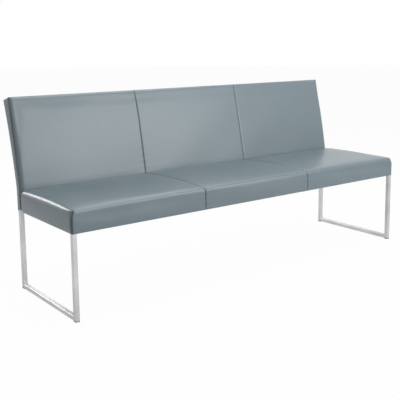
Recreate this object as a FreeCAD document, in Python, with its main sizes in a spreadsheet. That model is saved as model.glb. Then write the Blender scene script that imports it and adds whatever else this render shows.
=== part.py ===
import FreeCAD, Part
import math
import os
import Sketcher
from types import SimpleNamespace
from FreeCAD import Placement, Rotation, Vector

# An upholstered dining bench with a full-length back, on two sled frames of square steel tube.
# Millimetres, +X along the bench, +Y towards the back, +Z up. The origin is on the floor, at the
# middle of the bench's outline seen from above.

SIZES = {
    # Overall form
    "bench_length": 2000,
    "body_depth": 545,
    "clear_height": 369,
    "seat_thickness": 111,
    "back_rise": 405,
    "centre_panel": 650,
    # Sled frames
    "tube_width": 20,
    "tube_wall": 1.5,
    "tube_corner": 2,
    "frame_inset": 8,
    "rear_inset": 2.5,
    "bar_inset": 3,
    "bar_width": 45,
    "bar_thickness": 5,
    # Floor glides
    "glide_thickness": 3,
    "glide_margin": 0.5,
    "glide_chamfer": 0.6,
    "stem_diameter": 6,
    "stem_length": 6,
    # Fits: free fit of a stem or screw, clearance round soft pieces, and the overrun of cuts
    "free_fit": 0.1,
    "soft_gap": 0.3,
    "overrun": 2,
    # Coach screws
    "screw_diameter": 8,
    "screw_hole": 9,
    "screw_bite": 24,
    "head_width": 13,
    "head_height": 5.3,
    "flange_diameter": 17,
    "flange_thickness": 1.6,
    # Seat frame
    "rail_height": 45,
    "rail_thickness": 30,
    "cross_drop": 12,
    "block_width": 60,
    "block_height": 34,
    # Webbing, dust cover and leather
    "strap_width": 60,
    "strap_thickness": 2,
    "strap_count": 16,
    "dust_cloth": 0.8,
    "leather": 1.4,
    # Seat form
    "seat_crown": 7,
    "seat_roll": 16,
    "seat_end_roll": 11,
    "seam_dip": 3,
    "front_bulge": 2.5,
    # Back form
    "back_inset": 8,
    "back_setback": 106,
    "back_foot_thickness": 45,
    "back_top_thickness": 63,
    "back_top_fall": 17,
    "back_bend_clearance": 11,
    "back_bend_rise": 60,
    "back_bend_throw": 5.5,
    "back_crown": 5,
    "back_roll": 12.5,
    "back_end_roll": 10,
    "back_seam_depth": 14,
    # Back frame
    "back_rail_height": 50,
    "top_rail_height": 40,
    "back_wood": 24,
    "upright_width": 30,
    "board_thickness": 4,
}

# How full a panel stands at its seams, and the seat at its ends, against the panel's middle
SEAM_FULLNESS_SHARE = 0.15
SEAT_END_SHARE = 0.4
# How much of a panel's width its fullness takes to rise from a seam
CHANNEL_SHARE = 0.2
# Screws along an end rail, and screws along the back, as shares of the rail and of half the bench
END_SCREW_SHARES = (0.25, 0.75)
BACK_SCREW_SHARES = (-0.8, -0.2, 0.2, 0.8)
# Most of the roll of a long edge that the roll of an end may take, and the steps round that end
ROLL_LIMIT_SHARE = 0.85
ROLL_STEPS = 3
SIDES = {"left": -1, "right": 1}

doc = FreeCAD.newDocument("DiningBench")
sheet = doc.addObject("Spreadsheet::Sheet", "Sizes")
for row, (alias, number) in enumerate(SIZES.items(), start=1):
    sheet.set(f"A{row}", alias)
    sheet.set(f"B{row}", str(number))
    sheet.setAlias(f"B{row}", alias)
doc.recompute()


class Size:
    """A length with its present number and the formula that ties it to the sheet."""

    def __init__(self, number, formula):
        self.number = number
        self.formula = formula

    def __float__(self):
        return float(self.number)

    def __add__(self, other):
        other = as_size(other)
        return Size(self.number + other.number, f"({self.formula} + {other.formula})")

    def __sub__(self, other):
        other = as_size(other)
        return Size(self.number - other.number, f"({self.formula} - {other.formula})")

    def __mul__(self, factor):
        return Size(self.number * factor, f"({self.formula} * ({factor}))")

    def __truediv__(self, divisor):
        return Size(self.number / divisor, f"({self.formula} / ({divisor}))")

    def __neg__(self):
        return self * -1


def as_size(value):
    return value if isinstance(value, Size) else Size(value, f"({value})")


mm = SimpleNamespace(**{alias: Size(float(sheet.get(alias)), f"Sizes.{alias}") for alias in SIZES})

# Shared places: faces of the seat and back, of the sled frames and of the wooden frame
half_length = mm.bench_length / 2
seat_top = mm.clear_height + mm.seat_thickness
back_peak = seat_top + mm.back_rise
seat_front = -(mm.body_depth + mm.back_setback) / 2
back_rear = seat_front + mm.body_depth
back_front = back_rear - mm.back_foot_thickness
seat_rear = back_front - mm.soft_gap
back_half = half_length - mm.back_inset
seam = mm.centre_panel / 2
leg_outer = half_length - mm.frame_inset
leg_front = seat_front + mm.frame_inset
leg_rear = back_rear - mm.rear_inset
bar_top = mm.clear_height + mm.bar_thickness
bar_outer = leg_outer - mm.bar_inset
bar_middle = bar_outer - mm.bar_width / 2
screw_row = bar_middle - mm.tube_width / 2
lining = mm.leather + mm.soft_gap
rail_bottom = mm.clear_height + lining
rail_top = rail_bottom + mm.rail_height
strap_top = rail_top + mm.strap_thickness
frame_rear = seat_rear - lining
end_rail_length = frame_rear - leg_front
rail_inner = bar_outer - mm.bar_width
back_rail_front = back_front + lining
back_rail_rear = back_rear - lining
back_rail_depth = back_rail_rear - back_rail_front
back_rail_top = bar_top + mm.back_rail_height
back_bend_height = back_rail_top + mm.back_bend_clearance
back_screw_height = rail_bottom + mm.rail_height / 2
end_screw_places = [leg_front + end_rail_length * share for share in END_SCREW_SHARES]
back_foot_screw = back_rail_front + back_rail_depth / 2
back_screw_places = [half_length * share for share in BACK_SCREW_SHARES]

nodes = []


# Pieces bound to the sheet

def node(item, label):
    item.Label = label
    nodes.append(item)
    return item


def bind(item, **lengths):
    for name, length in lengths.items():
        item.setExpression(name, length.formula)


def place(item, x, y, z, turn=Rotation()):
    item.Placement = Placement(Vector(), turn)
    for axis, length in zip("xyz", (x, y, z)):
        item.setExpression(f"Placement.Base.{axis}", as_size(length).formula)


def box(label, x, y, z, length, width, height):
    made = node(doc.addObject("Part::Box", label), label)
    bind(made, Length=length, Width=width, Height=height)
    place(made, x, y, z)


def sketch_on(body, role):
    made = body.newObject("Sketcher::SketchObject", f"{body.Name}_sketch")
    plane = next(feature for feature in body.Origin.OriginFeatures if feature.Role == role)
    made.AttachmentSupport = [(plane, "")]
    made.MapMode = "FlatFace"
    return made


def hold_point(sketch, line, point, across, up):
    """Tie a point of the sketch to the origin, or to the axis that it lies on."""
    for kind, axis, length in (("DistanceX", -2, across), ("DistanceY", -1, up)):
        if isinstance(length, Size):
            index = sketch.addConstraint(Sketcher.Constraint(kind, -1, 1, line, point, float(length)))
            sketch.setExpression(f"Constraints[{index}]", length.formula)
        else:
            sketch.addConstraint(Sketcher.Constraint("PointOnObject", line, point, axis))


def flat(across, up):
    return Vector(float(across), float(up), 0)


def draw_polygon(sketch, corners):
    first = sketch.GeometryCount
    count = len(corners)
    for index, corner in enumerate(corners):
        following = corners[(index + 1) % count]
        sketch.addGeometry(Part.LineSegment(flat(*corner), flat(*following)))
    for index, corner in enumerate(corners):
        line = first + index
        previous = first + (index - 1) % count
        sketch.addConstraint(Sketcher.Constraint("Coincident", previous, 2, line, 1))
        hold_point(sketch, line, 1, *corner)


def draw_rectangle(sketch, left, bottom, right, top):
    draw_polygon(sketch, [(left, bottom), (right, bottom), (right, top), (left, top)])


def draw_circle(sketch, across, up, diameter):
    circle = sketch.addGeometry(Part.Circle(flat(across, up), Vector(0, 0, 1), float(diameter) / 2))
    hold_point(sketch, circle, 3, across, up)
    index = sketch.addConstraint(Sketcher.Constraint("Diameter", circle, float(diameter)))
    sketch.setExpression(f"Constraints[{index}]", diameter.formula)


def pad(body, sketch, length, down=False):
    made = body.newObject("PartDesign::Pad", f"{body.Name}_pad")
    made.Profile = sketch
    made.Reversed = down
    bind(made, Length=length)
    return made


def pocket(body, sketch, length=None, side="One side", up=False):
    made = body.newObject("PartDesign::Pocket", f"{body.Name}_pocket")
    made.Profile = sketch
    made.SideType = side
    made.Reversed = up
    if length is None:
        made.Type = "ThroughAll"
    else:
        bind(made, Length=length)
    before = made.BaseFeature.Shape.Volume
    doc.recompute()
    if not made.Shape.Volume < before:
        raise RuntimeError(f"{made.Name} cuts nothing")
    return made


def new_body(label):
    return doc.addObject("PartDesign::Body", label)


def group(label, blank, placements):
    """One node of separate solids, all copies of a blank."""
    doc.recompute()
    copies = []
    for placement in placements:
        copy = blank.Shape.copy()
        copy.Placement = placement.multiply(copy.Placement)
        copies.append(copy)
    made = doc.addObject("Part::Feature", label)
    made.Shape = Part.makeCompound(copies)
    node(made, label)


def spot(x, y, z):
    return Vector(float(x), float(y), float(z))


# Sled frames: square tube, mitred and welded at the floor, with a flat bar across the leg tops

def square_tube(label, length, mitred_top, x, y, z, turn):
    """A length of square tube along its own Z. Its mitres leave the +Y side the longer one."""
    body = new_body(label)
    half = mm.tube_width / 2
    bore = half - mm.tube_wall
    outline = sketch_on(body, "XY_Plane")
    draw_rectangle(outline, -half, -half, half, half)
    draw_rectangle(outline, -bore, -bore, bore, bore)
    wall = pad(body, outline, length)
    doc.recompute()
    corners = []
    for index, edge in enumerate(wall.Shape.Edges, start=1):
        middle = edge.CenterOfMass
        if min(abs(middle.x), abs(middle.y)) > float(bore + mm.tube_wall / 2):
            corners.append(f"Edge{index}")
    rounding = body.newObject("PartDesign::Fillet", f"{label}_corners")
    rounding.Base = (wall, corners)
    bind(rounding, Radius=mm.tube_corner)
    doc.recompute()
    long_side = half + mm.overrun
    mitre = sketch_on(body, "YZ_Plane")
    low = -mm.overrun
    draw_polygon(mitre, [(long_side, low), (-long_side, low), (-long_side, mm.tube_width + mm.overrun)])
    if mitred_top:
        high = length + mm.overrun
        draw_polygon(mitre, [(long_side, high), (-long_side, high),
                             (-long_side, length - mm.tube_width - mm.overrun)])
    doc.recompute()
    pocket(body, mitre, side="Symmetric")
    node(body, label)
    place(body, x, y, z, turn)
    return body


leg_length = mm.clear_height - mm.glide_thickness
runner_length = leg_rear - leg_front
half_tube = mm.tube_width / 2
towards_front = Rotation(Vector(0, 0, 1), 180)
along_depth = Rotation(Vector(1, 0, 0), -90)

for side, sign in SIDES.items():
    leg_middle = (leg_outer - half_tube) * sign
    square_tube(f"{side}_front_leg", leg_length, False,
                leg_middle, leg_front + half_tube, mm.glide_thickness, towards_front)
    square_tube(f"{side}_rear_leg", leg_length, False,
                leg_middle, leg_rear - half_tube, mm.glide_thickness, Rotation())
    runner = square_tube(f"{side}_floor_runner", runner_length, True,
                         leg_middle, leg_front, mm.glide_thickness + half_tube, along_depth)
    stem_holes = sketch_on(runner, "XZ_Plane")
    draw_circle(stem_holes, 0, half_tube, mm.stem_diameter + mm.free_fit)
    draw_circle(stem_holes, 0, runner_length - half_tube, mm.stem_diameter + mm.free_fit)
    doc.recompute()
    pocket(runner, stem_holes)

    bar = new_body(f"{side}_mounting_bar")
    bar_outline = sketch_on(bar, "XY_Plane")
    draw_rectangle(bar_outline, -mm.bar_width / 2, leg_front, mm.bar_width / 2, leg_rear)
    for screw in end_screw_places + [back_foot_screw]:
        draw_circle(bar_outline, half_tube * -sign, screw, mm.screw_hole)
    pad(bar, bar_outline, mm.bar_thickness)
    node(bar, bar.Name)
    place(bar, bar_middle * sign, 0, mm.clear_height)


# Floor glides: black pads under the corners of the sled frames, held by a stem in the runner

for side, sign in SIDES.items():
    for end, leg_centre in (("front", leg_front + half_tube), ("rear", leg_rear - half_tube)):
        glide = new_body(f"{side}_{end}_glide")
        edge = half_tube - mm.glide_margin
        foot = sketch_on(glide, "XY_Plane")
        draw_rectangle(foot, -edge, -edge, edge, edge)
        sole = pad(glide, foot, mm.glide_thickness)
        doc.recompute()
        under = [f"Edge{index}" for index, line in enumerate(sole.Shape.Edges, start=1)
                 if line.BoundBox.ZMax < float(mm.glide_chamfer)]
        easing = glide.newObject("PartDesign::Chamfer", f"{glide.Name}_easing")
        easing.Base = (sole, under)
        bind(easing, Size=mm.glide_chamfer)
        stem = sketch_on(glide, "XY_Plane")
        draw_circle(stem, 0, 0, mm.stem_diameter)
        pad(glide, stem, mm.glide_thickness + mm.stem_length)
        node(glide, glide.Name)
        place(glide, (leg_outer - half_tube) * sign, leg_centre, 0)


# Coach screws with flanged hexagon heads, as blanks that stand on the joint's face and point along +Z

def coach_screw(name, length):
    body = new_body(name)
    flange = sketch_on(body, "XY_Plane")
    draw_circle(flange, 0, 0, mm.flange_diameter)
    pad(body, flange, mm.flange_thickness, down=True)
    head = sketch_on(body, "XY_Plane")
    reach = mm.head_width / math.sqrt(3)
    turns = [math.radians(15 + 60 * corner) for corner in range(6)]
    draw_polygon(head, [(reach * math.cos(turn), reach * math.sin(turn)) for turn in turns])
    pad(body, head, mm.flange_thickness + mm.head_height, down=True)
    shank = sketch_on(body, "XY_Plane")
    draw_circle(shank, 0, 0, mm.screw_diameter)
    pad(body, shank, length)
    return body


rear_rail_front = frame_rear - mm.rail_thickness
back_grip = back_rail_front - rear_rail_front
leg_screw = coach_screw("leg_screw_blank", mm.bar_thickness + mm.screw_bite)
back_screw = coach_screw("back_screw_blank", back_grip + mm.screw_bite)
screw_bore = mm.screw_diameter + mm.free_fit
bore_depth = mm.screw_bite + mm.overrun
group("leg_screws", leg_screw,
      [Placement(spot(screw_row * sign, screw, mm.clear_height), Rotation())
       for sign in SIDES.values() for screw in end_screw_places + [back_foot_screw]])
group("back_screws", back_screw,
      [Placement(spot(screw, rear_rail_front, back_screw_height), along_depth)
       for screw in back_screw_places])


# Seat frame: solid beech rails on the mounting bars, with cross rails under the seams

box("seat_front_rail", -rail_inner, leg_front, rail_bottom,
    rail_inner * 2, mm.rail_thickness, mm.rail_height)

rear_rail = new_body("seat_rear_rail")
rear_face = sketch_on(rear_rail, "XZ_Plane")
draw_rectangle(rear_face, -rail_inner, rail_bottom, rail_inner, rail_top)
for screw in back_screw_places:
    draw_circle(rear_face, screw, back_screw_height, mm.screw_hole)
pad(rear_rail, rear_face, mm.rail_thickness)
node(rear_rail, "seat_rear_rail")
place(rear_rail, 0, frame_rear, 0)

for side, sign in SIDES.items():
    end_rail = new_body(f"seat_{side}_end_rail")
    end_outline = sketch_on(end_rail, "XY_Plane")
    draw_rectangle(end_outline, -mm.bar_width / 2, leg_front, mm.bar_width / 2, frame_rear)
    pad(end_rail, end_outline, rail_top - bar_top)
    sockets = sketch_on(end_rail, "XY_Plane")
    for screw in end_screw_places:
        draw_circle(sockets, half_tube * -sign, screw, screw_bore)
    doc.recompute()
    pocket(end_rail, sockets, bore_depth, up=True)
    node(end_rail, end_rail.Name)
    place(end_rail, bar_middle * sign, 0, bar_top)

    cross_front = leg_front + mm.rail_thickness
    box(f"seat_{side}_cross_rail", seam * sign - mm.rail_thickness / 2, cross_front, rail_bottom,
        mm.rail_thickness, rear_rail_front - cross_front, mm.rail_height - mm.cross_drop)

block = new_body("corner_block_blank")
block_outline = sketch_on(block, "XY_Plane")
draw_polygon(block_outline, [(0, 0), (mm.block_width, 0), (0, mm.block_width)])
pad(block, block_outline, mm.block_height)
block_corners = [(-rail_inner, cross_front), (rail_inner, cross_front),
                 (rail_inner, rear_rail_front), (-rail_inner, rear_rail_front)]
group("seat_corner_blocks", block,
      [Placement(spot(x, y, bar_top), Rotation(Vector(0, 0, 1), 90 * turn))
       for turn, (x, y) in enumerate(block_corners)])

strap = doc.addObject("Part::Box", "strap_blank")
bind(strap, Length=mm.strap_width, Width=end_rail_length, Height=mm.strap_thickness)
straps = int(float(mm.strap_count))
strap_pitch = rail_inner * 2 / straps
first_strap = (strap_pitch - mm.strap_width) / 2 - rail_inner
group("seat_webbing", strap,
      [Placement(spot(first_strap + strap_pitch * index, leg_front, rail_top), Rotation())
       for index in range(straps)])

dust_half = rail_inner - mm.soft_gap
box("dust_cover", -dust_half, leg_front, rail_bottom - mm.dust_cloth,
    dust_half * 2, back_rail_rear - leg_front, mm.dust_cloth)


# Soft forms are lofts along the bench through outlines of lines and arcs

def line(start, end):
    return Part.LineSegment(start, end).toShape()


def arc(start, middle, end):
    return Part.Arc(start, middle, end).toShape()


def loft(outlines):
    return Part.makeLoft([Part.Wire(edges) for edges in outlines], True, True)


def block_between(x_low, x_high, y_low, y_high, z_low, z_high):
    corner = spot(x_low, y_low, z_low)
    reach = spot(x_high, y_high, z_high) - corner
    return Part.makeBox(reach.x, reach.y, reach.z, corner)


def shaped_node(label, shape):
    made = doc.addObject("Part::Feature", label)
    made.Shape = shape
    node(made, label)


def swelling(start, end, start_fullness, end_fullness):
    """Stations from one end of a panel to the other, with how full it stands at each."""
    channel = (end - start) * CHANNEL_SHARE
    return [(start, start_fullness), (start + channel, 1), (end - channel, 1), (end, end_fullness)]


def panel_block(panel, outline, sewn, half, end_fullness, end_roll):
    """One panel between its seams, falling into a channel at each, with a rolled cap at the bench's end.

    outline gives the edges at a station along the bench, for a fullness and a depth rolled in."""
    if panel not in SIDES:
        stations = swelling(-sewn, sewn, SEAM_FULLNESS_SHARE, SEAM_FULLNESS_SHARE)
        return loft([outline(station, fullness, 0) for station, fullness in stations])
    sign = SIDES[panel]
    roll_start = half - end_roll
    stations = swelling(sewn, roll_start, SEAM_FULLNESS_SHARE, end_fullness)
    body = loft([outline(station * sign, fullness, 0) for station, fullness in stations])
    turns = [math.radians(90 * step / ROLL_STEPS) for step in range(ROLL_STEPS + 1)]
    cap = loft([outline((roll_start + end_roll * math.sin(turn)) * sign, end_fullness,
                        end_roll * (1 - math.cos(turn))) for turn in turns])
    return body.fuse(cap).removeSplitter()


def past_seam(panel, sewn, reach):
    """Where a block meets its seam, run on past it by a reach."""
    return sewn - reach if panel in SIDES else sewn + reach


# Seat cover: three sewn panels over one foam cap that wraps the wooden frame

def seat_outline(station, fullness, rolled, shrink):
    """Outline across the seat: flat base, bowed front, rolled front edge and crowned top."""
    front = float(seat_front + mm.front_bulge) + shrink + rolled
    rear = float(seat_rear) - shrink
    base = float(mm.clear_height) + shrink
    crest = float(seat_top - mm.seam_dip * (1 - fullness)) - shrink - rolled
    edge = crest - float(mm.seat_crown)
    roll = float(mm.seat_roll) - shrink - rolled
    eased = roll * (1 - math.sqrt(0.5))
    base_rear = Vector(station, rear, base)
    base_front = Vector(station, front, base)
    bow = Vector(station, front - float(mm.front_bulge) * fullness, (base + edge - roll) / 2)
    roll_start = Vector(station, front, edge - roll)
    roll_middle = Vector(station, front + eased, edge - eased)
    roll_finish = Vector(station, front + roll, edge)
    crown = Vector(station, (front + roll + rear) / 2, crest)
    top_rear = Vector(station, rear, edge)
    return [line(base_rear, base_front), arc(base_front, bow, roll_start),
            arc(roll_start, roll_middle, roll_finish), arc(roll_finish, crown, top_rear),
            line(top_rear, base_rear)]


def seat_panel(panel, shrink, reach):
    def outline(station, fullness, rolled):
        return seat_outline(station, fullness, rolled, shrink)
    end_roll = min(float(mm.seat_end_roll), float(mm.seat_roll) * ROLL_LIMIT_SHARE) - shrink
    sewn = past_seam(panel, float(seam), reach)
    return panel_block(panel, outline, sewn, float(half_length) - shrink, SEAT_END_SHARE, end_roll)


leather = float(mm.leather)
overrun = float(mm.overrun)
underside = block_between(-(leg_outer + mm.soft_gap), leg_outer + mm.soft_gap,
                          leg_front - mm.soft_gap, seat_rear + mm.overrun,
                          mm.clear_height - mm.overrun, bar_top + mm.soft_gap)
screw_drill = Part.makeCompound([
    Part.makeCylinder(float(mm.screw_hole) / 2, float(back_rail_front - frame_rear),
                      spot(screw, frame_rear, back_screw_height), Vector(0, 1, 0))
    for screw in back_screw_places])

for panel in ("left", "centre", "right"):
    skin = seat_panel(panel, 0, 0).cut(seat_panel(panel, leather, overrun))
    shaped_node(f"seat_cover_{panel}", skin.cut(underside).cut(screw_drill))

foam_left, foam_centre, foam_right = (seat_panel(panel, float(lining), 0)
                                      for panel in ("left", "centre", "right"))
frame_space = block_between(-(leg_outer + mm.soft_gap), leg_outer + mm.soft_gap,
                            leg_front - mm.soft_gap, seat_rear + mm.overrun,
                            mm.clear_height - mm.overrun, strap_top + mm.soft_gap)
shaped_node("seat_foam", foam_centre.fuse([foam_left, foam_right]).removeSplitter().cut(frame_space))


# Back: lines of its side profile, plumb at the foot, then bent back in one long arc

top_run = math.sqrt(float(mm.back_top_thickness) ** 2 - float(mm.back_top_fall) ** 2)
top_forward = Vector(0, -top_run, float(mm.back_top_fall)).normalize()
top_down = Vector(0, -top_forward.z, top_forward.y)
top_rear_corner = spot(0, back_rear + mm.back_setback, back_peak - mm.back_top_fall)
bend_lean = 2 * math.atan(float(mm.back_bend_throw) / float(mm.back_bend_rise))
bend_radius = float(mm.back_bend_rise) / math.sin(bend_lean)


def back_top(station, ahead, drop):
    """A point of the back's top, a way ahead of its rear edge and a drop below its face."""
    return top_rear_corner + top_forward * ahead + top_down * drop + Vector(station, 0, 0)


def leaning(lean):
    return Vector(0, math.sin(lean), math.cos(lean))


def chord_lean(start, end):
    chord = end - start
    return math.atan2(chord.y, chord.z)


def back_line(foot, base, top, bow=0.0):
    """Edges of one line of the profile from its base up to a top point."""
    station = top.x
    bend_height = float(back_bend_height)
    foot_point = Vector(station, foot, base)
    bend_start = Vector(station, foot, bend_height)
    half_lean = bend_lean / 2
    bend_middle = bend_start + Vector(0, bend_radius * (1 - math.cos(half_lean)),
                                      bend_radius * math.sin(half_lean))
    bend_end = bend_start + spot(0, mm.back_bend_throw, mm.back_bend_rise)
    lean = chord_lean(bend_end, top)
    half_chord = (top - bend_end).Length / 2
    swell = half_chord * math.tan((lean - bend_lean) / 2) + bow
    swell_way = Vector(0, -math.cos(lean), math.sin(lean))
    arc_middle = (bend_end + top) * 0.5 + swell_way * swell
    return [line(foot_point, bend_start), arc(bend_start, bend_middle, bend_end),
            arc(bend_end, arc_middle, top)]


def back_layer(station, rear_foot, rear_top, front_foot, front_top, drop, base):
    """Outline between two lines of the back, given ahead of its rear face at the foot and the top."""
    rear_end = back_top(station, rear_top, drop)
    front_end = back_top(station, front_top, drop)
    rear_edges = back_line(float(back_rear) - rear_foot, base, rear_end)
    front_edges = back_line(float(back_rear) - front_foot, base, front_end)
    low_rear = Vector(station, float(back_rear) - rear_foot, base)
    low_front = Vector(station, float(back_rear) - front_foot, base)
    return rear_edges + [line(rear_end, front_end)] + front_edges[::-1] + [line(low_front, low_rear)]


def back_slab(half, rear, front, drop, base):
    """A layer of the back, run along the bench between plus and minus half."""
    rear_foot, rear_top = rear
    front_foot, front_top = front
    outline = back_layer(-half, rear_foot, rear_top, front_foot, front_top, drop, base)
    return Part.Face(Part.Wire(outline)).extrude(Vector(2 * half, 0, 0))


def even(depth):
    return (depth, depth)


foot_thickness = float(mm.back_foot_thickness)
top_thickness = float(mm.back_top_thickness)
seam_depth = float(mm.back_seam_depth)
band_front = (foot_thickness - seam_depth, top_thickness - seam_depth)
wood_rear = float(lining)
wood_front = wood_rear + float(mm.back_wood)
board_front = wood_front + float(mm.board_thickness)
inner_half = float(back_half - lining)


def front_outline(station, fullness, rolled, shrink, rear, base):
    """Outline across the back's front: swelling face, rolled top edge, and the line that it is set on."""
    rear_foot, rear_top = rear
    drawn_in = shrink + rolled
    foot = float(back_front) + drawn_in
    corner = back_top(station, top_thickness - drawn_in, drawn_in)
    roll = float(mm.back_roll) - drawn_in
    bend_end = Vector(station, foot + float(mm.back_bend_throw),
                      float(back_bend_height + mm.back_bend_rise))
    up_face = leaning(2 * chord_lean(bend_end, corner) - bend_lean)
    roll_start = corner - up_face * roll
    roll_finish = corner - top_forward * roll
    half_angle = up_face.getAngle(top_forward) / 2
    inward = (up_face + top_forward).normalize() * -1
    roll_middle = corner + inward * (roll / math.cos(half_angle) - roll * math.tan(half_angle))
    rear_end = back_top(station, rear_top, shrink)
    face = back_line(foot, base, roll_start, float(mm.back_crown) * fullness)
    seat_line = back_line(float(back_rear) - rear_foot, base, rear_end)
    low_front = Vector(station, foot, base)
    low_rear = Vector(station, float(back_rear) - rear_foot, base)
    face += [arc(roll_start, roll_middle, roll_finish), line(roll_finish, rear_end)]
    return face + seat_line[::-1] + [line(low_rear, low_front)]


def front_panel(panel, shrink, reach, rear, base):
    def outline(station, fullness, rolled):
        return front_outline(station, fullness, rolled, shrink, rear, base)
    end_roll = min(float(mm.back_end_roll), float(mm.back_roll) * ROLL_LIMIT_SHARE) - shrink
    sewn = past_seam(panel, float(seam), reach)
    return panel_block(panel, outline, sewn, float(back_half) - shrink, 0, end_roll)


# Back frame: bottom rail screwed to the seat, uprights at the ends and behind the seams, a top rail

bottom_rail_half = back_half - lining - mm.back_end_roll
bottom_rail = new_body("back_bottom_rail")
bottom_outline = sketch_on(bottom_rail, "XY_Plane")
draw_rectangle(bottom_outline, -bottom_rail_half, back_rail_front, bottom_rail_half, back_rail_rear)
pad(bottom_rail, bottom_outline, mm.back_rail_height)
bar_sockets = sketch_on(bottom_rail, "XY_Plane")
for sign in SIDES.values():
    draw_circle(bar_sockets, screw_row * sign, back_foot_screw, screw_bore)
doc.recompute()
pocket(bottom_rail, bar_sockets, bore_depth, up=True)
seat_sockets = sketch_on(bottom_rail, "XZ_Plane")
for screw in back_screw_places:
    draw_circle(seat_sockets, screw, back_screw_height - bar_top, screw_bore)
seat_sockets.setExpression("AttachmentOffset.Base.z", (-back_rail_front).formula)
doc.recompute()
pocket(bottom_rail, seat_sockets, bore_depth)
node(bottom_rail, "back_bottom_rail")
place(bottom_rail, 0, 0, bar_top)

wood = back_slab(inner_half, even(wood_rear), even(wood_front), wood_rear, float(back_rail_top))
top_rail_drop = wood_rear + float(mm.top_rail_height)
below_top_rail = back_slab(float(half_length), even(-overrun), even(board_front + overrun),
                           top_rail_drop, float(mm.clear_height))
shaped_node("back_top_rail", wood.cut(below_top_rail))
upright_half = float(mm.upright_width) / 2
upright_middles = {"left_end": upright_half - inner_half, "left_middle": -float(seam),
                   "right_middle": float(seam), "right_end": inner_half - upright_half}
for name, middle in upright_middles.items():
    slice_box = block_between(middle - upright_half, middle + upright_half,
                              seat_rear, back_rear + mm.back_setback, mm.clear_height, back_peak)
    shaped_node(f"back_{name}_upright", wood.common(below_top_rail).common(slice_box))
shaped_node("back_board", back_slab(inner_half, even(wood_front), even(board_front),
                                  wood_rear, float(back_rail_top)))


# Back foam and cover: three front panels, a boxing band round the sides and top, and a rear panel

foam_base = float(back_rail_top + mm.soft_gap)
foam_rear = even(board_front + float(mm.soft_gap))
back_foams = [front_panel(panel, float(lining), 0, foam_rear, foam_base)
              for panel in ("centre", "left", "right")]
shaped_node("back_foam", back_foams[0].fuse(back_foams[1:]).removeSplitter())

front_base = float(bar_top + mm.soft_gap)
open_rear = (band_front[0] - overrun, band_front[1] - overrun)
for panel in ("left", "centre", "right"):
    skin = front_panel(panel, 0, 0, band_front, front_base)
    hollow = front_panel(panel, leather, overrun, open_rear, front_base - overrun)
    shaped_node(f"back_front_cover_{panel}", skin.cut(hollow).cut(screw_drill))

clear_base = float(mm.clear_height)
band = back_slab(float(back_half), even(leather), band_front, 0, clear_base)
band_hollow = back_slab(float(back_half) - leather, even(leather - overrun),
                        (band_front[0] + overrun, band_front[1] + overrun), leather, clear_base - overrun)
shaped_node("back_boxing_band", band.cut(band_hollow))
shaped_node("back_rear_cover", back_slab(float(back_half), even(0), even(leather), 0, clear_base))


# Every piece is sound before any of them is written

doc.recompute()
for item in doc.Objects:
    if "Invalid" in item.State or "Error" in item.State:
        raise RuntimeError(f"{item.Name} failed: {item.State}")
for item in nodes:
    if item.Shape.isNull() or not item.Shape.isValid():
        raise RuntimeError(f"{item.Label} has no sound shape")

os.makedirs("parts", exist_ok=True)
for item in nodes:
    item.Shape.exportStep(f"parts/{item.Label}.step")
    print(f"{item.Label}: {len(item.Shape.Solids)} solids, {item.Shape.Volume / 1000:.1f} cm3")
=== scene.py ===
import math

import bmesh
import bpy
import numpy as np
from mathutils import Matrix, Vector
from mathutils.bvhtree import BVHTree


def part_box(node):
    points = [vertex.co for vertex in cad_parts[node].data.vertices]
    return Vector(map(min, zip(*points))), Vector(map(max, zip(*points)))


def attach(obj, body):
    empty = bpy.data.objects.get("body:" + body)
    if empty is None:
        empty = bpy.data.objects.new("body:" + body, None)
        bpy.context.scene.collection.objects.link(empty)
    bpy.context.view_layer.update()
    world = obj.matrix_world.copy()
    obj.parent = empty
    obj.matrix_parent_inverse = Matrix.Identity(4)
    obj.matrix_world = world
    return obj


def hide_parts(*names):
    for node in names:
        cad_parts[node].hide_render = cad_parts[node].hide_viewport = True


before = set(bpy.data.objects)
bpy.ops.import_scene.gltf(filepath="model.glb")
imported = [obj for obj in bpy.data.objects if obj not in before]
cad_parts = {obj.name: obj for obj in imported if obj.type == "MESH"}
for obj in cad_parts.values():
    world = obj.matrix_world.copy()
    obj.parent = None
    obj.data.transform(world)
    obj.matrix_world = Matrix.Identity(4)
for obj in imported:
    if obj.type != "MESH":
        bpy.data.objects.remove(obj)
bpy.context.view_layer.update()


# Sled frames: square stainless tube, mitred and welded at the floor corners, with a flat bar across
# the tops of each pair of legs. The maker brushes each length along its run, then cleans the welds,
# which leaves a fine dull line along the mitre.

class Shade:
    """A socket of a finish. Sums and products of sockets and numbers add Math nodes."""

    def __init__(self, tree, socket):
        self.tree = tree
        self.socket = socket

    def math(self, operation, first, second=0.0):
        node = self.tree.nodes.new("ShaderNodeMath")
        node.operation = operation
        for slot, value in zip(node.inputs, (first, second)):
            feed(self.tree, slot, value)
        return Shade(self.tree, node.outputs[0])

    def __add__(self, other):
        return self.math("ADD", self, other)

    def __sub__(self, other):
        return self.math("SUBTRACT", self, other)

    def __rsub__(self, other):
        return self.math("SUBTRACT", other, self)

    def __mul__(self, other):
        return self.math("MULTIPLY", self, other)

    def __truediv__(self, other):
        return self.math("DIVIDE", self, other)

    def __abs__(self):
        return self.math("ABSOLUTE", self)

    def below(self, edge, softness):
        """1 where the value is well below an edge, fading to 0 over the softness."""
        ramp = (edge - self) / softness + 0.5
        return self.math("MINIMUM", self.math("MAXIMUM", ramp, 0.0), 1.0)

    __radd__ = __add__
    __rmul__ = __mul__


def feed(tree, slot, value):
    if isinstance(value, Shade):
        tree.links.new(value.socket, slot)
    elif slot.type == "RGBA":
        slot.default_value = (*value, 1.0)
    else:
        slot.default_value = value


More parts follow.
